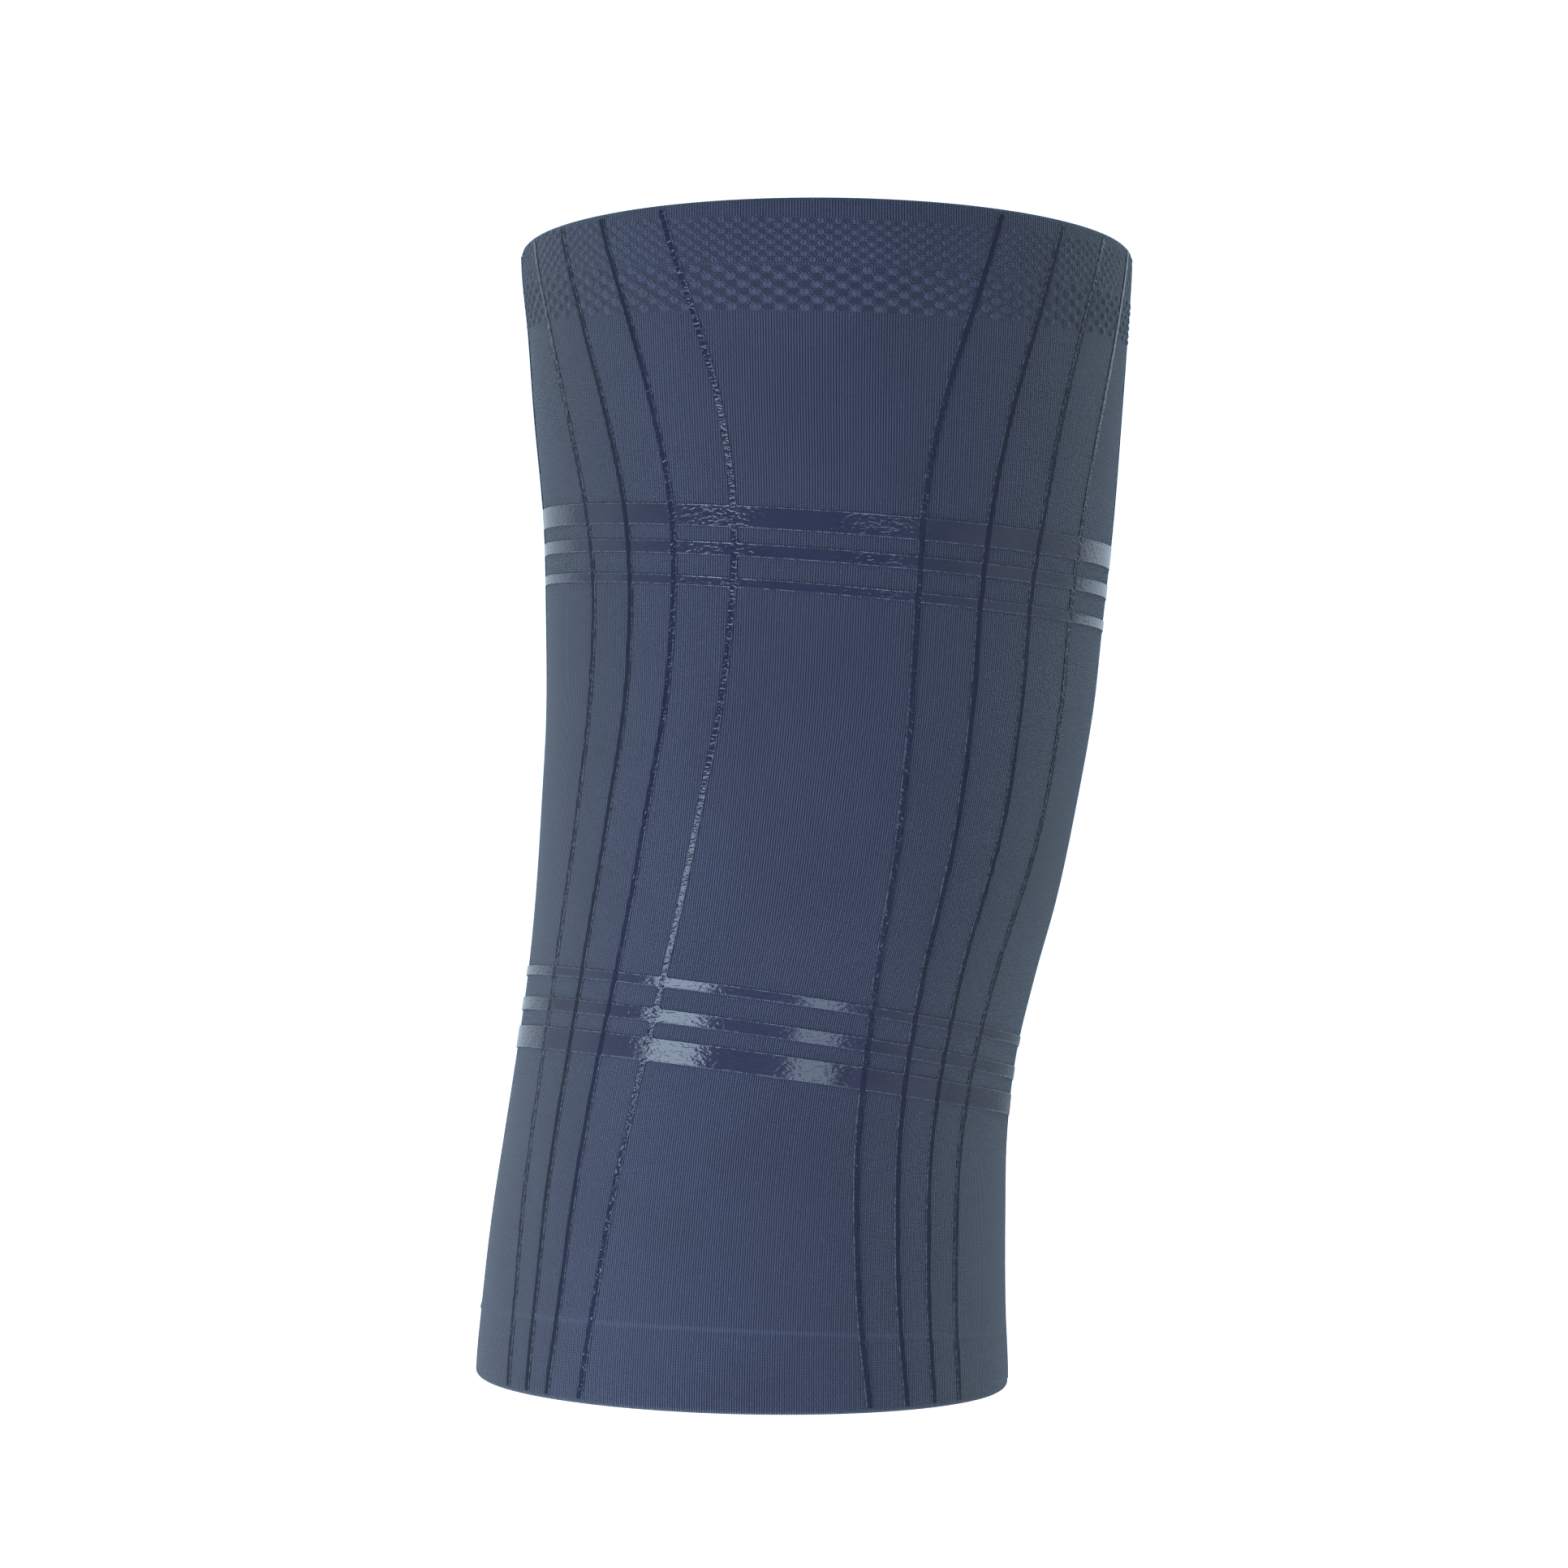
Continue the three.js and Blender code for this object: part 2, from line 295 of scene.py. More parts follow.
def makeKnit():
    profile = knitProfile()
    columns = knit["columns"]
    rows = len(profile)
    obj = gridPiece("knitSleeve", columns, rows)
    column, row = gridPlaces(obj, columns, rows)
    turns = column / columns
    angle = turns * 2 * math.pi + math.pi  # the seam of the grid is at the back
    rowHeight = profile[row % rows, 0]
    out = profile[row % rows, 1]
    height = heightOnLeg(rowHeight, angle)
    pattern = height - leg["kneeHeight"] + knit["cuffSlope"] * np.sin(angle)
    outer = out > -0.01
    relief = np.zeros(len(angle))
    for kind in (knit["largeStitches"], knit["smallStitches"]):
        relief += kind["relief"] * raisedStitches(turns, pattern, kind)
    flat, full = knit["pressedFlat"]
    relief *= np.clip((besideStrips(angle, height) - flat) / (full - flat), 0, 1)
    line = knit["hemLine"]
    lean = line["rise"] * np.cos(angle) - line["slope"] * np.sin(angle)
    lineHeight = line["height"] + lean * leg["kneeWidth"]
    away = (height - lineHeight) / line["width"]
    relief += line["ridge"] * np.clip(1 - away**2, 0, 1) ** 2
    setPoints(obj, legPoint(height, angle, out + np.where(outer, relief, 0)))
    run = np.concatenate([[0], np.cumsum(np.hypot(*np.diff(profile, axis=0).T))])
    run = np.append(run, run[-1] + np.hypot(*(profile[0] - profile[-1])))
    along = run[row] / knit["course"]
    setPlaces(obj, "stitches", turns * knit["wales"], along)
    setValues(obj, "cuffHeight", pattern)
    setValues(obj, "hemAway", height - lineHeight)
    closeAndPoint(obj)
    print("knit sleeve", len(obj.data.polygons), "faces")
    return obj


# The film: six bands round the leg and ten strips along it, in one web with rounded inner corners.
film = {
    "endMargin": 1.2,
    "stripWidth": 1.5,
    "corner": 0.75,
    "thickness": 0.32,
    "sunk": 0.02,
    "edgeRounding": 0.17,
    "cornerSteps": (0.0, 0.134, 0.5, 1.0),  # shares of the corner's radius where its arc has points
    "rowStep": 3.2,
    "columnsBetween": [24, 6, 5, 5, 30, 7, 6, 6, 20, 100],  # after each strip, on to the next
    "bands": [  # middle height and width, from the lower one up
        (80.7 - 7.6, 5.0),
        (80.7, 3.0),
        (80.7 + 7.6, 2.2),
        (190.4 - 7.6, 2.2),
        (190.4, 3.0),
        (190.4 + 7.6, 5.0),
    ],
    # degrees from the front at a share of the length up, first to fifth strip of each side
    "leftStrips": [
        (0.00, 35.3, 44.4, 50.8, 57.9, 98.0),
        (0.10, 32.6, 42.2, 50.1, 58.2, 98.0),
        (0.20, 30.3, 41.3, 50.4, 60.0, 98.3),
        (0.30, 27.9, 40.1, 50.1, 60.8, 98.3),
        (0.40, 25.8, 38.3, 49.2, 60.4, 97.5),
        (0.50, 23.3, 35.8, 46.4, 57.4, 95.5),
        (0.60, 20.5, 33.0, 43.5, 55.0, 93.0),
        (0.70, 18.8, 31.7, 42.6, 53.9, 89.8),
        (0.78, 19.2, 32.6, 44.3, 56.6, 87.6),
        (0.86, 21.5, 35.8, 48.1, 61.0, 87.3),
        (0.93, 25.8, 40.2, 52.9, 66.0, 87.0),
        (1.00, 30.4, 44.7, 57.0, 70.0, 86.5),
    ],
    "rightStrips": [
        (0.00, 27.7, 36.9, 44.5, 52.8, 92.0),
        (0.10, 24.9, 34.7, 43.1, 51.9, 92.0),
        (0.20, 23.2, 33.5, 42.5, 52.2, 92.0),
        (0.30, 22.1, 32.7, 42.8, 53.8, 92.5),
        (0.40, 19.8, 31.5, 42.4, 54.8, 93.0),
        (0.50, 19.1, 32.3, 44.7, 58.6, 94.0),
        (0.60, 18.0, 31.6, 44.4, 58.5, 93.5),
        (0.70, 17.8, 31.6, 44.5, 58.6, 91.5),
        (0.78, 18.3, 33.1, 46.9, 60.8, 90.0),
        (0.86, 21.9, 37.0, 50.8, 65.8, 90.0),
        (0.93, 26.7, 41.8, 55.5, 71.0, 90.0),
        (1.00, 31.5, 46.5, 61.2, 76.0, 90.1),
    ],
}


def stripAngle(rowHeight, side, order):
    # the angle where a strip crosses a knitted row, the strips being known by their true height
    table = film["rightStrips"] if side > 0 else film["leftStrips"]
    degreesAt = smoothTable(table, order, freeEnds=True)
    angle = side * np.radians(degreesAt(rowHeight / leg["length"]))
    for _ in range(3):
        height = heightOnLeg(rowHeight, angle)
        angle = side * np.radians(degreesAt(height / leg["length"]))
    return angle


def filmColumns():
    # the lattice's columns, each with its kind, its strip and its place, and where each strip's own begin
    # the strips go round from the left of the back: left fifth to first, then right first to fifth
    strips = [(-1, 5), (-1, 4), (-1, 3), (-1, 2), (-1, 1), (1, 1), (1, 2), (1, 3), (1, 4), (1, 5)]
    half = film["stripWidth"] / 2
    columns, starts = [], []
    for k, count in enumerate(film["columnsBetween"]):
        starts.append(len(columns))
        columns += [("strip", k, -half - step * film["corner"]) for step in reversed(film["cornerSteps"])]
        columns += [("strip", k, half + step * film["corner"]) for step in film["cornerSteps"]]
        columns += [("between", k, n / (count + 1)) for n in range(1, count + 1)]
    return strips, columns, starts


def filmRows():
    # the lattice's rows, each with its kind and height and, on a band, its middle and half width
    steps = film["cornerSteps"]
    rows, starts = [], []
    low = film["endMargin"]
    for middle, width in film["bands"]:
        half = width / 2
        start = middle - half - film["corner"]
        count = max(1, int(round((start - low) / film["rowStep"])))
        first = 0 if not rows else 1  # a band's last row has this height already
        rows += [("plain", h) for h in np.linspace(low, start, count, endpoint=False)[first:]]
        starts.append(len(rows))
        rows += [("band", middle - half - step * film["corner"], middle, half) for step in reversed(steps)]
        rows += [("band", middle + half + step * film["corner"], middle, half) for step in steps]
        low = middle + half + film["corner"]
    end = leg["length"] - film["endMargin"]
    count = int(round((end - low) / film["rowStep"]))
    rows += [("plain", h) for h in np.linspace(low, end, count + 1)[1:]]
    return rows, starts


def roundLength(angle, height):
    # mm of leg surface for one radian at this place
    step = 1e-3
    a = legPoint(height, angle - step, 0)
    b = legPoint(height, angle + step, 0)
    return np.linalg.norm(b - a, axis=-1) / mm / (2 * step)


def lieOnLeg(obj):
    # the film's broad faces shade as the leg's own surface, and only its rounded edges turn away
    broadFace = 0.96  # cosine of the most that a broad face leans from the leg
    mesh = obj.data
    count = len(mesh.vertices)
    points = np.empty(count * 3)
    mesh.vertices.foreach_get("co", points)
    height = points.reshape(-1, 3)[:, 2] / mm + leg["kneeHeight"]
    places = np.empty(len(mesh.loops) * 2)
    mesh.uv_layers["onLeg"].data.foreach_get("uv", places)
    angle = np.empty(count)
    angle[pointOfCorner(mesh)] = places[0::2]
    alongLeg = legPoint(height + 0.5, angle, 0) - legPoint(height - 0.5, angle, 0)
    roundLeg = legPoint(height, angle + 1e-3, 0) - legPoint(height, angle - 1e-3, 0)
    outwards = np.cross(roundLeg, alongLeg)
    outwards /= np.linalg.norm(outwards, axis=1)[:, None]
    normals = np.empty(count * 3)
    mesh.vertices.foreach_get("normal", normals)
    normals = normals.reshape(-1, 3)
    for face in mesh.polygons:
        facing = float(np.dot(face.normal, outwards[face.vertices[0]]))
        if abs(facing) > broadFace:
            for v in face.vertices:
                normals[v] = outwards[v] * math.copysign(1, facing)
    mesh.normals_split_custom_set_from_vertices(normals)


def cornerCells(count, starts):
    # for each cell along one side of the lattice: how many cells it is away from its strip or band
    # (0 on it, 9 where there is none near) and on which side of it
    away = np.full(count, 9)
    side = np.zeros(count, dtype=int)
    middle = len(film["cornerSteps"]) - 1
    for start in starts:
        for cell in range(2 * middle + 1):
            away[start + cell] = abs(cell - middle)
            side[start + cell] = 1 if cell > middle else -1
    return away, side


def faceCells(mesh):
    # the middle of each face, and the column and row of the lattice's cell that it is in
    centres = np.empty(len(mesh.polygons) * 3)
    mesh.polygons.foreach_get("center", centres)
    centres = centres.reshape(-1, 3)
    cells = centres[:, :2].astype(int)
    return centres, cells[:, 0], cells[:, 1]


def selectFaces(mesh, wanted):
    mesh.vertices.foreach_set("select", np.zeros(len(mesh.vertices), dtype=bool))
    mesh.edges.foreach_set("select", np.zeros(len(mesh.edges), dtype=bool))
    mesh.polygons.foreach_set("select", wanted)


def cutHoles(obj, nColumns, nRows, stripStarts, bandStarts):
    # split the cells on the holes' corners across, then cut the holes away
    mesh = obj.data
    columnAway, columnSide = cornerCells(nColumns, stripStarts)
    rowAway, rowSide = cornerCells(nRows, bandStarts)
    onArc = len(film["cornerSteps"])
    selectOnly(obj)
    for method, side in (("FIXED", -1), ("FIXED_ALTERNATE", 1)):
        _, column, row = faceCells(mesh)
        away = columnAway[column] + rowAway[row]
        corner = (columnAway[column] > 0) & (rowAway[row] > 0) & (away == onArc)
        selectFaces(mesh, corner & (columnSide[column] * rowSide[row] == side))
        bpy.ops.object.mode_set(mode="EDIT")
        bpy.ops.mesh.select_mode(type="FACE")
        bpy.ops.mesh.quads_convert_to_tris(quad_method=method, ngon_method="BEAUTY")
        bpy.ops.object.mode_set(mode="OBJECT")
    centres, column, row = faceCells(mesh)
    away = columnAway[column] + rowAway[row]
    outer = (centres[:, 0] - column - 0.5) * columnSide[column] + (centres[:, 1] - row - 0.5) * rowSide[row]
    beside = (columnAway[column] > 0) & (rowAway[row] > 0)
    selectFaces(mesh, beside & ((away > onArc) | ((away == onArc) & (outer > 0.01))))
    bpy.ops.object.mode_set(mode="EDIT")
    bpy.ops.mesh.delete(type="FACE")
    bpy.ops.object.mode_set(mode="OBJECT")


def stripAngles(strips, columns, rowHeights):
    # the angle of every point of the lattice, by column and row
    nColumns = len(columns)
    placed = np.zeros((nColumns + 1, len(rowHeights)))
    middles = [stripAngle(rowHeights, side, order) for side, order in strips]
    reach = film["stripWidth"] / 2 + film["corner"]
    for i in range(nColumns + 1):
        kind, k, offset = columns[i % nColumns]
        turn = 2 * math.pi if i == nColumns else 0
        here = middles[k]
        roundHere = roundLength(here, heightOnLeg(rowHeights, here))
        if kind == "strip":
            slant = np.gradient(here, rowHeights) * roundHere
            placed[i] = here + turn + offset * np.sqrt(1 + slant**2) / roundHere
            continue
        after = middles[(k + 1) % len(strips)] + (2 * math.pi if k + 1 == len(strips) else 0)
        low = here + reach / roundHere
        high = after - reach / roundLength(after, heightOnLeg(rowHeights, after))
        placed[i] = low + (high - low) * offset
    return placed


def markFilm(obj, strips, columns, rows, column, row):
    # where each point is across its strip and its band, in mm from the middle, and whether it is on a band
    margin = 0.01
    acrossStrip = np.zeros(len(column))
    acrossBand = np.zeros(len(column))
    bandHalf = np.full(len(column), 9.0)
    onBand = np.zeros(len(column))
    for n, (i, j) in enumerate(zip(column, row)):
        kind, k, offset = columns[i % len(columns)]
        if kind == "strip":
            # a strip's offset counts positive towards the front, the edge that carries the painted highlight
            acrossStrip[n] = offset if strips[k][0] < 0 else -offset
        if rows[j][0] == "band":
            acrossBand[n] = rows[j][1] - rows[j][2]
            bandHalf[n] = rows[j][3]
            onBand[n] = abs(acrossBand[n]) < bandHalf[n] + margin
    setValues(obj, "acrossStrip", acrossStrip)
    setValues(obj, "acrossBand", acrossBand)
    setValues(obj, "bandHalf", bandHalf)
    setValues(obj, "onBand", onBand)
    stripFace = np.zeros(len(obj.data.polygons), dtype=np.int32)
    for face in obj.data.polygons:
        if all(abs(abs(acrossStrip[v]) - film["stripWidth"] / 2) < margin for v in face.vertices):
            stripFace[face.index] = 1
    obj.data.polygons.foreach_set("material_index", stripFace)


def makeFilm():
    strips, columns, stripStarts = filmColumns()
    rows, bandStarts = filmRows()
    nColumns, nRows = len(columns), len(rows) - 1
    obj = gridPiece("filmWeb", nColumns, nRows)
    mesh = obj.data
    column, row = gridPlaces(obj, nColumns, nRows)
    # while the holes are cut, a point's column and row are its x and y
    setPoints(obj, np.stack([column, row, np.zeros(len(row))], axis=-1))
    cutHoles(obj, nColumns, nRows, stripStarts, bandStarts)

    # wrap the lattice round the leg
    points = np.empty(len(mesh.vertices) * 3)
    mesh.vertices.foreach_get("co", points)
    points = points.reshape(-1, 3)
    column = np.round(points[:, 0]).astype(int)
    row = np.round(points[:, 1]).astype(int)
    rowHeights = np.array([r[1] for r in rows])
    angle = stripAngles(strips, columns, rowHeights)[column, row]
    height = heightOnLeg(rowHeights[row], angle)
    setPoints(obj, legPoint(height, angle, -film["sunk"]))
    markFilm(obj, strips, columns, rows, column, row)
    setPlaces(obj, "onLeg", angle, rowHeights[row])
    closeAndPoint(obj)
    thick = obj.modifiers.new("thickness", "SOLIDIFY")
    thick.thickness = (film["thickness"] + film["sunk"]) * mm
    thick.offset = 1.0
    thick.use_even_offset = False
    bpy.ops.object.modifier_apply(modifier="thickness")
    bevel = obj.modifiers.new("softEdge", "BEVEL")
    bevel.width = film["edgeRounding"] * mm
    bevel.segments = 2
    bevel.limit_method = "ANGLE"
    bevel.angle_limit = math.radians(50)
    bpy.ops.object.modifier_apply(modifier="softEdge")
    bpy.ops.object.shade_smooth()
    lieOnLeg(obj)
    print("film web", len(obj.data.polygons), "faces")
    return obj


class NodeTree:
    # short ways to add nodes to a material, a node group or the world
    def __init__(self, tree):
        self.tree = tree
        self.count = 0

    def add(self, kind, **settings):
        node = self.tree.nodes.new(kind)
        node.location = (180 * (self.count // 6), -170 * (self.count % 6))
        self.count += 1
        for name, value in settings.items():
            setattr(node, name, value)
        return node

    def feed(self, socket, value):
        if isinstance(value, bpy.types.NodeSocket):
            self.tree.links.new(value, socket)
        else:
            socket.default_value = value

    def math(self, operation, *values, clamp=False):
        node = self.add("ShaderNodeMath", operation=operation, use_clamp=clamp)
        for socket, value in zip(node.inputs, values):
            self.feed(socket, value)
        return node.outputs[0]

    def between(self, value, low, high, toLow=0.0, toHigh=1.0, smooth=True):
        node = self.add("ShaderNodeMapRange", interpolation_type="SMOOTHSTEP" if smooth else "LINEAR")
        given = {"Value": value, "From Min": low, "From Max": high, "To Min": toLow, "To Max": toHigh}
        for socket, number in given.items():
            self.feed(node.inputs[socket], number)
        return node.outputs[0]

    def mixColour(self, factor, first, second, blend="MIX"):
        node = self.add("ShaderNodeMix", data_type="RGBA", blend_type=blend)
        for socket, value in ((node.inputs[0], factor), (node.inputs[6], first), (node.inputs[7], second)):
            if isinstance(value, (int, float, bpy.types.NodeSocket)):
                self.feed(socket, value)
            else:
                self.feed(socket, (*value, 1))
        return node.outputs[2]

    def noise(self, place, scale, detail=2.0, roughness=0.5):
        node = self.add("ShaderNodeTexNoise")
        self.feed(node.inputs["Vector"], place)
        for name, value in (("Scale", scale), ("Detail", detail), ("Roughness", roughness)):
            self.feed(node.inputs[name], value)
        return node.outputs["Fac"]

    def group(self, tree, **values):
        node = self.add("ShaderNodeGroup", node_tree=tree)
        for name, value in values.items():
            self.feed(node.inputs[name], value)
        return node.outputs


def newGroup(name, inputs, outputs):
    # a shader node group with its named sockets
    tree = bpy.data.node_groups.new(name, "ShaderNodeTree")
    for socket, kind, value in inputs:
        made = tree.interface.new_socket(socket, in_out="INPUT", socket_type="NodeSocket" + kind)
        if value is not None:
            made.default_value = value
    for socket, kind in outputs:
        tree.interface.new_socket(socket, in_out="OUTPUT", socket_type="NodeSocket" + kind)
    nodes = NodeTree(tree)
    given = nodes.add("NodeGroupInput")
    result = nodes.add("NodeGroupOutput")
    return nodes, given.outputs, result.inputs


def makeStitchGroup():
    # fine jersey: slanted light loops in upright wales, and the furrows between the rows
    nodes, given, result = newGroup(
        "jerseyStitches",
        [("Wale", "Float", 0.0), ("Course", "Float", 0.0), ("Slant", "Float", 0.6)],
        [("Height", "Float"), ("Loop", "Float")],
    )
    m = nodes.math
    across = m("SUBTRACT", m("FRACT", given["Wale"]), 0.5)
    stagger = m("MULTIPLY", m("FLOOR", given["Wale"]), 0.5)
    slanted = m("ADD", m("ADD", given["Course"], m("MULTIPLY", across, given["Slant"])), stagger)
    along = m("ABSOLUTE", m("SUBTRACT", m("FRACT", slanted), 0.5))
    waleHeight = nodes.between(m("ABSOLUTE", across), 0.46, 0.16)
    dash = nodes.between(along, 0.46, 0.12)
    furrow = nodes.between(m("ABSOLUTE", m("SUBTRACT", m("FRACT", given["Course"]), 0.5)), 0.5, 0.3)
    loop = m("MULTIPLY", waleHeight, m("ADD", m("MULTIPLY", dash, 0.62), 0.38))
    loop = m("MULTIPLY", loop, m("ADD", m("MULTIPLY", furrow, 0.45), 0.55))
    nodes.feed(result["Loop"], loop)
    nodes.feed(result["Height"], m("ADD", m("MULTIPLY", loop, 0.8), m("MULTIPLY", furrow, 0.2)))
    return nodes.tree


def makeRaisedGroup():
    # rows of rounded raised stitches, each row half a stitch round from the last
    nodes, given, result = newGroup(
        "raisedStitchRows",
        [
            ("Turns", "Float", 0.0),
            ("Height", "Float", 0.0),
            ("Count", "Float", 80.0),
            ("First", "Float", 0.0),
            ("Pitch", "Float", 1.0),
            ("Rows", "Float", 6.0),
        ],
        [("Dome", "Float"), ("Valley", "Float"), ("Gather", "Float")],
    )
    m = nodes.math
    row = m("DIVIDE", m("SUBTRACT", given["Height"], given["First"]), given["Pitch"])
    band = m(
        "MULTIPLY",
        nodes.between(row, -0.75, -0.4),
        nodes.between(row, m("SUBTRACT", given["Rows"], 0.25), m("SUBTRACT", given["Rows"], 0.6)),
    )
    turn = m("MULTIPLY", m("MULTIPLY", given["Turns"], given["Count"]), 2 * math.pi)
    upright = m("COSINE", m("MULTIPLY", row, math.pi))
    wave = m("MULTIPLY", m("COSINE", turn), upright)
    nodes.feed(result["Dome"], m("MULTIPLY", nodes.between(wave, -0.05, 0.6), band))
    # the valleys between the stitches, which the knit darkens as painted shade
    nodes.feed(result["Valley"], m("MULTIPLY", nodes.between(wave, 0.1, -0.6), band))
    nodes.feed(result["Gather"], m("MULTIPLY", m("MULTIPLY", m("SINE", turn), upright), band))
    return nodes.tree


def makeToneGroup():
    # slow uneven tone, as dye and stretch leave it
    nodes, given, result = newGroup(
        "unevenTone",
        [
            ("Place", "Vector", None),
            ("Size", "Float", 0.03),
            ("Least", "Float", 0.9),
            ("Most", "Float", 1.1),
        ],
        [("Tone", "Float")],
    )
    scale = nodes.math("DIVIDE", 1.0, given["Size"])
    slow = nodes.noise(given["Place"], scale, 3.0, 0.55)
    nodes.feed(result["Tone"], nodes.between(slow, 0.3, 0.7, given["Least"], given["Most"]))
    return nodes.tree


def makeSpeckleGroup():
    # fine specks, as loose fibre ends and dust catch the light
    nodes, given, result = newGroup(
        "fineSpecks",
        [("Place", "Vector", None), ("Size", "Float", 0.0006), ("Share", "Float", 0.3)],
        [("Specks", "Float")],
    )
    scale = nodes.math("DIVIDE", 1.0, given["Size"])
    fine = nodes.noise(given["Place"], scale, 1.0, 0.4)
    edge = nodes.math("SUBTRACT", 0.75, nodes.math("MULTIPLY", given["Share"], 0.5))
    nodes.feed(result["Specks"], nodes.between(fine, edge, nodes.math("ADD", edge, 0.12)))
    return nodes.tree


def newMaterial(name):
    material = bpy.data.materials.new(name)
    material.use_nodes = True
    nodes = NodeTree(material.node_tree)
    nodes.count = 12
    return material, nodes, material.node_tree.nodes["Principled BSDF"]


knitLook = {
    "yarn": (0.103, 0.107, 0.172),
    "gap": (0.012, 0.015, 0.034),
    # painted shade: the side yarn and gap colours are darker and greyer than at the front, standing in for
    # the light falling off round the leg
    "shadedSideYarn": (0.093, 0.091, 0.122),
    "shadedSideGap": (0.019, 0.022, 0.034),
    "roughness": 0.85,
    "sheen": 0.50,
    "sheenRoughness": 0.38,
    "sheenTint": (0.65, 0.71, 0.78),
    "relief": 0.00022,
    "gather": 1.1,
}


def makeKnitMaterial(groups):
    material, nodes, shader = newMaterial("finePlainKnit")
    m = nodes.math
    places = nodes.add("ShaderNodeUVMap", uv_map="stitches")
    split = nodes.add("ShaderNodeSeparateXYZ")
    nodes.feed(split.inputs[0], places.outputs["UV"])
    wale, course = split.outputs[0], split.outputs[1]
    turns = m("DIVIDE", wale, float(knit["wales"]))
    cuff = nodes.add("ShaderNodeAttribute", attribute_name="cuffHeight").outputs["Fac"]
    hem = nodes.add("ShaderNodeAttribute", attribute_name="hemAway").outputs["Fac"]
    place = nodes.add("ShaderNodeTexCoord").outputs["Object"]

    raised = []
    for kind in (knit["largeStitches"], knit["smallStitches"]):
        raised.append(
            nodes.group(
                groups["raised"],
                Turns=turns,
                Height=cuff,
                Count=float(kind["count"]),
                First=kind["first"],
                Pitch=kind["pitch"],
                Rows=float(kind["rows"]),
            )
        )
    large, small = raised
    # painted highlight and shade: the domes' colour is evened to a lighter tone and the valleys between them
    # are darkened, as light falls on the raised stitches
    dome = m("MAXIMUM", large["Dome"], m("MULTIPLY", small["Dome"], 0.8))
    valleyShade = m("MAXIMUM", large["Valley"], m("MULTIPLY", small["Valley"], 0.8))
    gather = m("ADD", large["Gather"], m("MULTIPLY", small["Gather"], 0.5))
    bent = m("SUBTRACT", wale, m("MULTIPLY", gather, knitLook["gather"]))
    jersey = nodes.group(groups["stitches"], Wale=bent, Course=course, Slant=0.7)
    smooth = m("MULTIPLY", dome, 0.7)
    loop = m("ADD", m("MULTIPLY", jersey["Loop"], m("SUBTRACT", 1.0, smooth)), m("MULTIPLY", smooth, 0.62))
    loop = m("MULTIPLY", loop, m("SUBTRACT", 1.0, m("MULTIPLY", valleyShade, 0.42)))

    # painted shade: the colour turns to the darker, greyer side colours as the wall turns away from the
    # front
    frontness = m("COSINE", m("MULTIPLY", m("SUBTRACT", turns, 0.485), 2 * math.pi))
    side = nodes.between(frontness, 0.95, 0.45)
    yarn = nodes.mixColour(side, knitLook["yarn"], knitLook["shadedSideYarn"])
    gap = nodes.mixColour(side, knitLook["gap"], knitLook["shadedSideGap"])
    tone = nodes.group(groups["tone"], Place=place, Size=0.035, Least=0.93, Most=1.07)["Tone"]
    specks = nodes.group(groups["specks"], Place=place, Size=0.0007, Share=0.25)["Specks"]
    hemRidge = nodes.between(m("ABSOLUTE", hem), 0.9, 0.1)
    light = m("ADD", m("ADD", loop, m("MULTIPLY", specks, 0.10)), m("MULTIPLY", hemRidge, 0.16))
    colour = nodes.mixColour(m("MINIMUM", light, 1.0), gap, yarn)
    toned = nodes.mixColour(1.0, colour, nodes.mixColour(tone, (0, 0, 0), (1, 1, 1)), blend="MULTIPLY")
    nodes.feed(shader.inputs["Base Color"], toned)

    height = m("ADD", m("MULTIPLY", jersey["Height"], m("SUBTRACT", 1.0, smooth)), m("MULTIPLY", dome, 1.2))
    bump = nodes.add("ShaderNodeBump")
    bump.inputs["Distance"].default_value = knitLook["relief"]
    bump.inputs["Strength"].default_value = 1.0
    nodes.feed(bump.inputs["Height"], height)
    nodes.feed(shader.inputs["Normal"], bump.outputs["Normal"])
    rough = nodes.between(loop, 0.0, 1.0, 0.95, knitLook["roughness"])
    nodes.feed(shader.inputs["Roughness"], rough)
    shader.inputs["Specular IOR Level"].default_value = 0.25
    shader.inputs["Sheen Weight"].default_value = knitLook["sheen"]
    shader.inputs["Sheen Roughness"].default_value = knitLook["sheenRoughness"]
    shader.inputs["Sheen Tint"].default_value = (*knitLook["sheenTint"], 1)
    return material


filmLook = {
    # a light colour for the stitches that show through the film and for the painted highlight along its
    # edges
    "edge": (0.150, 0.180, 0.230),
    "roughness": (0.10, 0.18),
    "creaseScale": 620.0,
    "wrinkleScale": 1500.0,
    "bands": {
        "colour": (0.024, 0.025, 0.055),
        # painted light: the band colour round the sides is lighter and greyer, standing in for the bright
        # surroundings the film reflects there
        "paintedSideLightColour": (0.056, 0.055, 0.078),
        "specular": 0.38,
        "crinkle": 0.00004,
    },
    "strips": {
        "colour": (0.014, 0.016, 0.044),
        # painted light: the strip colour round the sides is greyer, standing in for what the film reflects
        # there
        "paintedSideLightColour": (0.016, 0.017, 0.030),
        "specular": 0.34,
        "crinkle": 0.00008,
    },
}


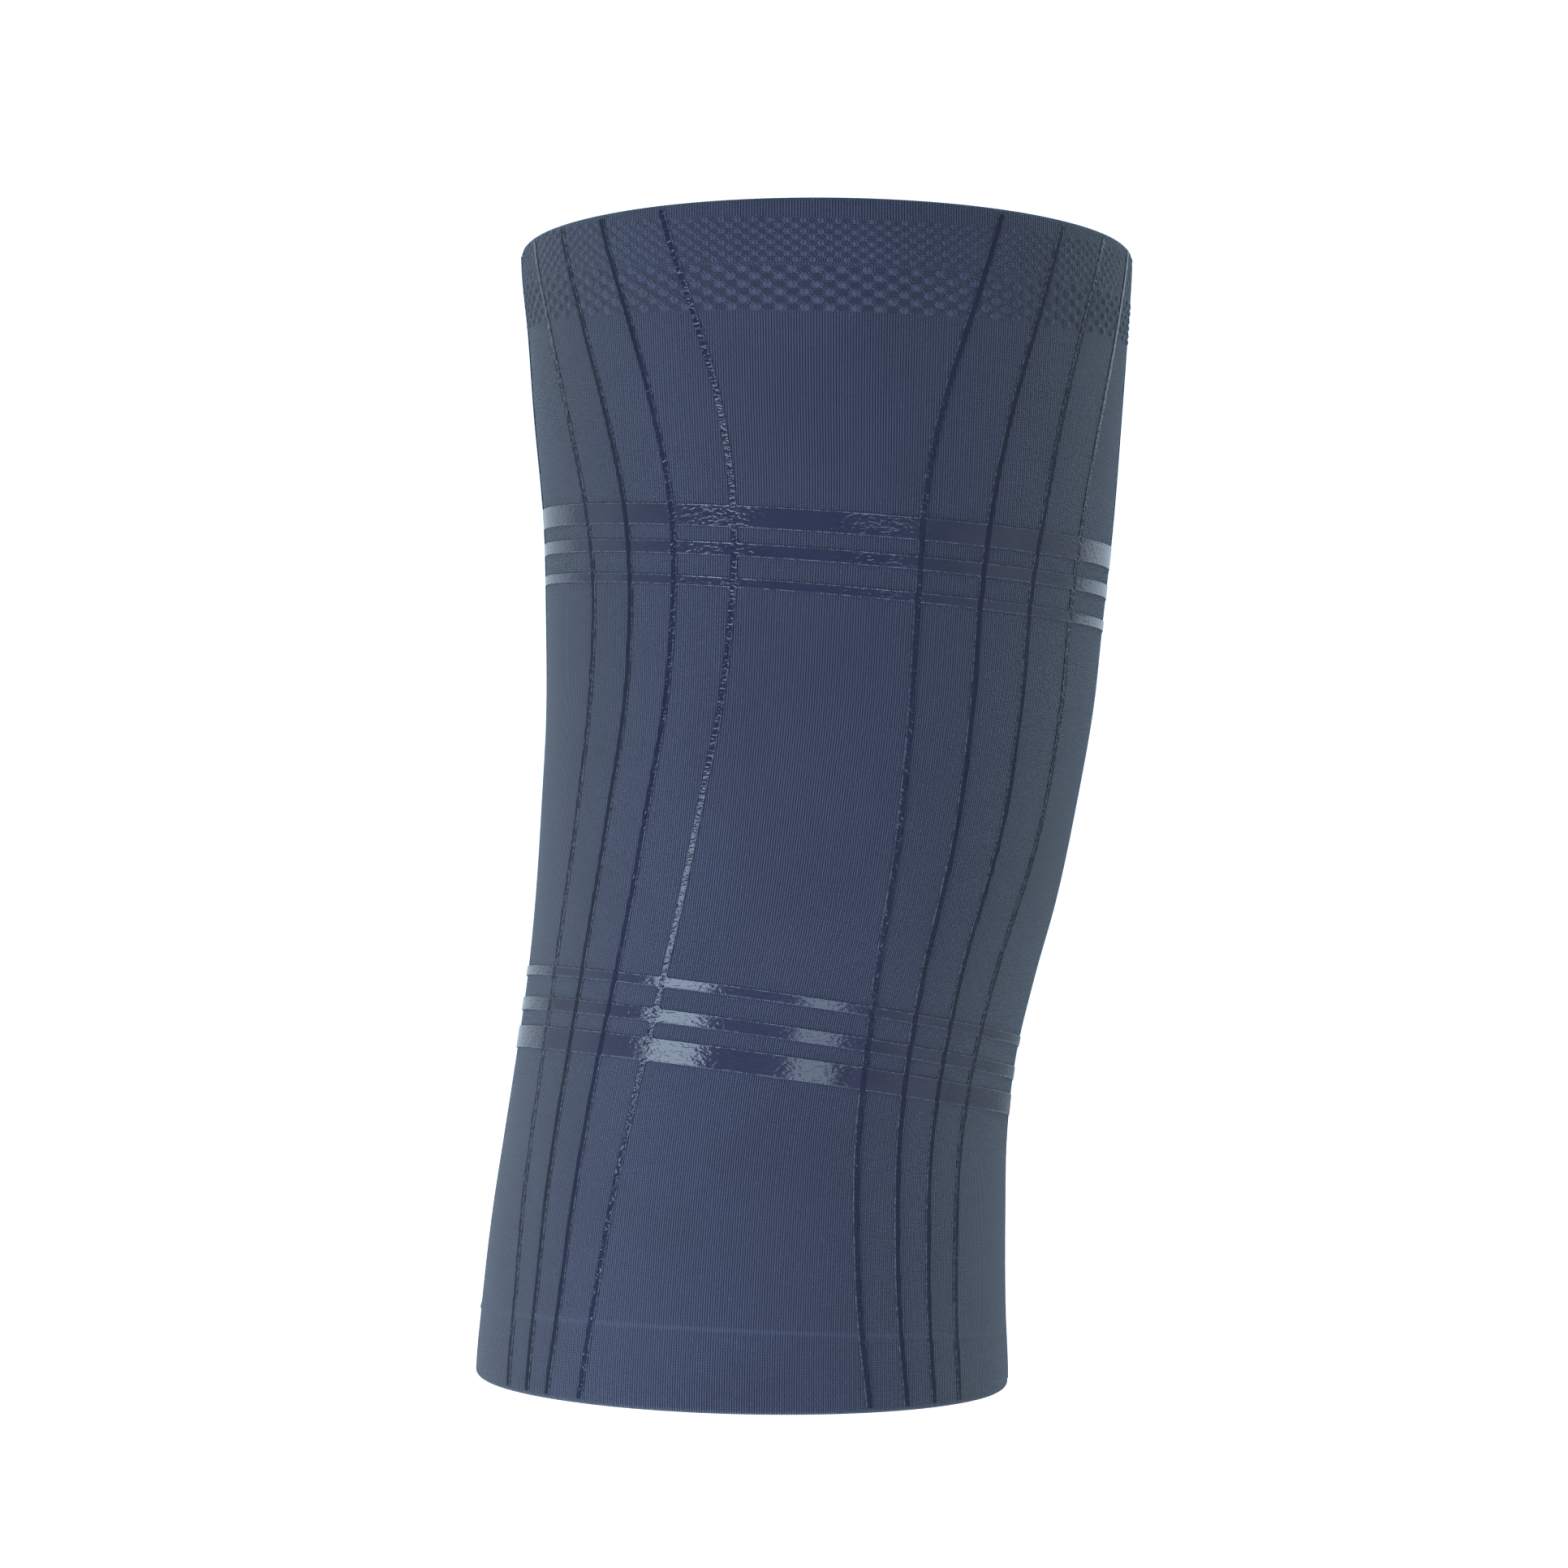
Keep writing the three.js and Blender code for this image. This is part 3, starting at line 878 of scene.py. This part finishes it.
def makeFilmMaterial(groups, part):
    look = filmLook[part]
    material, nodes, shader = newMaterial("glossFilm" + part.capitalize())
    m = nodes.math
    place = nodes.add("ShaderNodeTexCoord").outputs["Object"]

    def attribute(name):
        return nodes.add("ShaderNodeAttribute", attribute_name=name).outputs["Fac"]

    places = nodes.add("ShaderNodeSeparateXYZ")
    nodes.feed(places.inputs[0], nodes.add("ShaderNodeUVMap", uv_map="onLeg").outputs["UV"])
    angle, along = places.outputs[0], places.outputs[1]
    flat = nodes.add("ShaderNodeMapping")
    flat.inputs["Scale"].default_value = (1.0, 1.0, 2.2)  # creases lie along the knitted rows
    nodes.feed(flat.inputs["Vector"], place)
    crease = nodes.noise(flat.outputs["Vector"], filmLook["creaseScale"], 1.0, 0.5)
    crease = nodes.between(crease, 0.70, 0.42)
    fine = nodes.noise(flat.outputs["Vector"], filmLook["wrinkleScale"], 1.0, 0.5)
    turns = m("ADD", m("DIVIDE", angle, 2 * math.pi), 0.5)
    jersey = nodes.group(
        groups["stitches"],
        Wale=m("MULTIPLY", turns, float(knit["wales"])),
        Course=m("DIVIDE", along, knit["course"]),
        Slant=0.7,
    )
    # fine specks break the painted edge highlight into dots
    specks = nodes.group(groups["specks"], Place=place, Size=0.0009, Share=0.6)["Specks"]
    broken = m("ADD", 0.25, m("MULTIPLY", specks, 0.75))
    # painted highlight: a light line along the film's edges, on the strips only along the edge nearer the
    # front, where the rounded edge catches the light
    if part == "strips":
        paintedEdgeGlint = nodes.between(attribute("acrossStrip"), 0.42, 0.62, 0.0, 0.6)
        paintedEdgeGlint = m("MULTIPLY", paintedEdgeGlint, m("SUBTRACT", 1.0, attribute("onBand"), clamp=True))
    else:
        inside = m("SUBTRACT", attribute("bandHalf"), m("ABSOLUTE", attribute("acrossBand")))
        paintedEdgeGlint = m("MULTIPLY", nodes.between(inside, 0.26, 0.10), nodes.between(inside, -0.12, 0.0))
    paintedEdgeGlint = m("MULTIPLY", paintedEdgeGlint, broken)
    tone = nodes.group(groups["tone"], Place=place, Size=0.012, Least=0.88, Most=1.12)["Tone"]

    # painted light: round the sides the film takes the lighter, greyer side colour in place of reflecting
    # its surroundings
    frontness = m("COSINE", m("SUBTRACT", angle, -0.09))
    side = nodes.between(frontness, 0.97, 0.70)
    colour = nodes.mixColour(side, look["colour"], look["paintedSideLightColour"])
    colour = nodes.mixColour(m("MULTIPLY", jersey["Loop"], 0.06), colour, filmLook["edge"])
    colour = nodes.mixColour(m("MULTIPLY", paintedEdgeGlint, 0.75), colour, filmLook["edge"])
    toned = nodes.mixColour(1.0, colour, nodes.mixColour(tone, (0, 0, 0), (1, 1, 1)), blend="MULTIPLY")
    nodes.feed(shader.inputs["Base Color"], toned)
    low, high = filmLook["roughness"]
    nodes.feed(shader.inputs["Roughness"], nodes.between(fine, 0.3, 0.7, low, high))

    height = m("ADD", crease, m("ADD", m("MULTIPLY", fine, 0.5), m("MULTIPLY", jersey["Height"], 0.08)))
    height = m("ADD", height, m("MULTIPLY", paintedEdgeGlint, 0.8))
    bump = nodes.add("ShaderNodeBump")
    bump.inputs["Distance"].default_value = look["crinkle"]
    bump.inputs["Strength"].default_value = 1.0
    nodes.feed(bump.inputs["Height"], height)
    nodes.feed(shader.inputs["Normal"], bump.outputs["Normal"])
    shader.inputs["IOR"].default_value = 1.5
    shader.inputs["Specular IOR Level"].default_value = look["specular"]
    return material


studio = {
    "floorHeight": -0.48,
    "floorSize": 14.0,
    "tint": (0.70, 0.86, 1.0),
    "behind": 0.92,
    "beside": 0.36,
    "before": 0.22,
    "right": 0.28,
    # name, degrees left (-) or right of the camera, distance, middle height, width, tall, power
    "boxes": [
        ("leftBox", -46.5, 0.70, -0.235, 0.33, 0.46, 4.6),
        ("rightBox", 21, 0.70, -0.235, 0.26, 0.46, 1.8),
        ("topBox", -10, 0.80, 0.95, 1.10, 0.70, 6.0),
        ("backBox", 165, 0.90, 0.95, 1.20, 0.70, 9.0),
    ],
}


def makeStudio():
    world = bpy.data.worlds.new("softStudio")
    world.use_nodes = True
    nodes = NodeTree(world.node_tree)
    background = world.node_tree.nodes["Background"]
    direction = nodes.add("ShaderNodeTexCoord").outputs["Generated"]
    split = nodes.add("ShaderNodeSeparateXYZ")
    nodes.feed(split.inputs[0], direction)
    toBack = nodes.between(split.outputs[1], 0.58, 0.66, studio["beside"], studio["behind"])
    toFront = nodes.between(split.outputs[1], 0.15, -0.05, 0.0, studio["beside"] - studio["before"])
    level = nodes.math("SUBTRACT", toBack, toFront)
    toRight = nodes.between(split.outputs[0], 0.35, 0.65, 0.0, studio["right"])
    toRight = nodes.math("MULTIPLY", toRight, nodes.between(split.outputs[2], -0.27, 0.05))
    level = nodes.math("ADD", level, toRight)
    seen = nodes.add("ShaderNodeLightPath").outputs["Is Camera Ray"]
    strength = nodes.math("MAXIMUM", level, nodes.math("MULTIPLY", seen, 1.5))
    nodes.feed(background.inputs["Strength"], strength)
    background.inputs["Color"].default_value = (*studio["tint"], 1)
    bpy.context.scene.world = world
    bpy.context.scene.view_settings.view_transform = "Standard"

    for name, turn, distance, height, wide, tall, power in studio["boxes"]:
        data = bpy.data.lights.new(name, "AREA")
        data.shape = "RECTANGLE"
        data.size = wide
        data.size_y = tall
        data.energy = power
        data.color = studio["tint"]
        box = bpy.data.objects.new(name, data)
        side = math.radians(turn)
        box.location = (distance * math.sin(side), -distance * math.cos(side), height)
        tilt = math.atan2(height, distance) if height > 0 else 0
        box.rotation_euler = (math.radians(90) - tilt, 0, side)
        box.visible_camera = False
        bpy.context.scene.collection.objects.link(box)

    bpy.ops.object.select_all(action="DESELECT")
    bpy.ops.mesh.primitive_plane_add(size=studio["floorSize"], location=(0, 0, studio["floorHeight"]))
    floor = bpy.context.active_object
    floor.name = "paleFloor"
    material, nodes, shader = newMaterial("paleFloor")
    shader.inputs["Base Color"].default_value = (0.7, 0.7, 0.7, 1)
    shader.inputs["Roughness"].default_value = 0.9
    shader.inputs["Emission Color"].default_value = (1, 1, 1, 1)
    seen = nodes.add("ShaderNodeLightPath").outputs["Is Camera Ray"]
    nodes.feed(shader.inputs["Emission Strength"], seen)
    floor.data.materials.append(material)
    print("studio set")


makeCamera()
knitSleeve = makeKnit()
filmWeb = makeFilm()
groups = {
    "stitches": makeStitchGroup(),
    "raised": makeRaisedGroup(),
    "tone": makeToneGroup(),
    "specks": makeSpeckleGroup(),
}
knitSleeve.data.materials.append(makeKnitMaterial(groups))
filmWeb.data.materials.append(makeFilmMaterial(groups, "bands"))
filmWeb.data.materials.append(makeFilmMaterial(groups, "strips"))
print("materials made")
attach(knitSleeve, "root")
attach(filmWeb, "root")
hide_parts("knit_sleeve")
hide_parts("film_web")
makeStudio()
